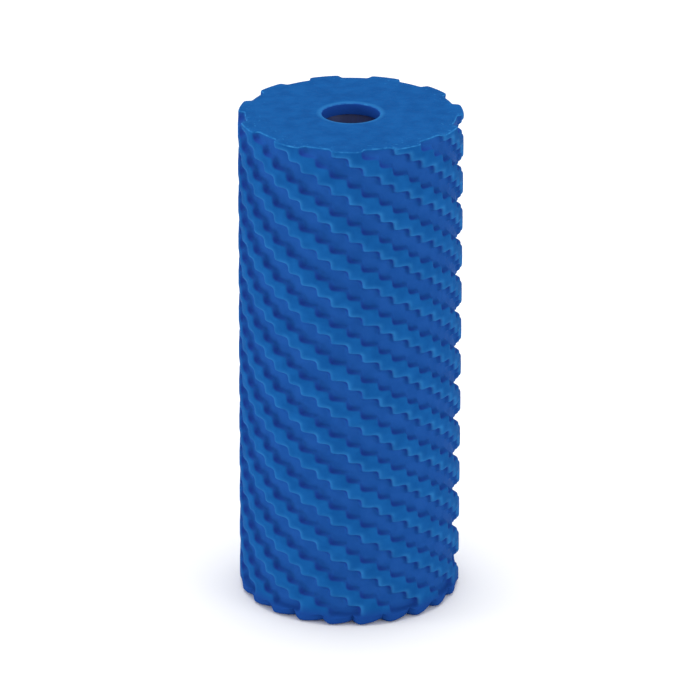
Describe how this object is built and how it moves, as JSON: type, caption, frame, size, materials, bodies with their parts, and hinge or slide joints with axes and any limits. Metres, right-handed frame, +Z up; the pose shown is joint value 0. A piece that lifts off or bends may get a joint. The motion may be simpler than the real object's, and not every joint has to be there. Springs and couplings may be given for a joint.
{
  "type": "foam roller",
  "caption": "Blue moulded foam massage roller with a stepped helical tread on a dark rigid core tube, standing on its end.",
  "frame": {"origin": "centre of the lower end face, on the roller's axis", "axes": "+Z up along the roller's axis, from the rimmed end face to the trimmed end face; -Y is the front"},
  "size_m": [0.14, 0.14, 0.318],
  "materials": {
    "foam": "matte closed-cell foam",
    "tube": "dark blue, as extruded"
  },
  "bodies": {
    "root": {"foam_body": "foam", "core_tube": "tube"}
  },
  "joints": []
}
